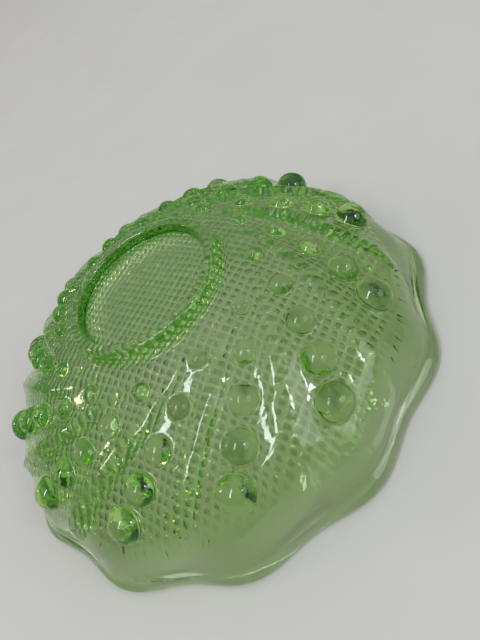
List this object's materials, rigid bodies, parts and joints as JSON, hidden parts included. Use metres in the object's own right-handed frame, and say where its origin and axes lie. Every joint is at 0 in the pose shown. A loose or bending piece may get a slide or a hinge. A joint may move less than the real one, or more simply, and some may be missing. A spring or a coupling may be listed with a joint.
{
  "type": "pressed glass dish",
  "caption": "Round pressed glass dish with a foot ring, swirled rows of raised hobs and a scalloped rim, stored upside down on its rim.",
  "frame": {"origin": "centre of the circle under the rim, on the plane that the scalloped rim rests on while the dish lies upside down", "axes": "+Z along the bowl's axis, from the rim towards the foot ring, so the bowl opens downwards in this frame; +X runs through the first hob of row 1"},
  "size_m": [0.1292, 0.1292, 0.0385],
  "materials": {
    "uranium_glass": "polished"
  },
  "bodies": {
    "root": {"base_disc": "uranium_glass", "foot_ring": "uranium_glass", "bowl_wall": "uranium_glass", "rim_band": "uranium_glass", "hob_row_01": "uranium_glass", "hob_row_02": "uranium_glass", "hob_row_03": "uranium_glass", "hob_row_04": "uranium_glass", "hob_row_05": "uranium_glass", "hob_row_06": "uranium_glass", "hob_row_07": "uranium_glass", "hob_row_08": "uranium_glass", "hob_row_09": "uranium_glass", "hob_row_10": "uranium_glass", "hob_row_11": "uranium_glass", "hob_row_12": "uranium_glass"}
  },
  "joints": []
}
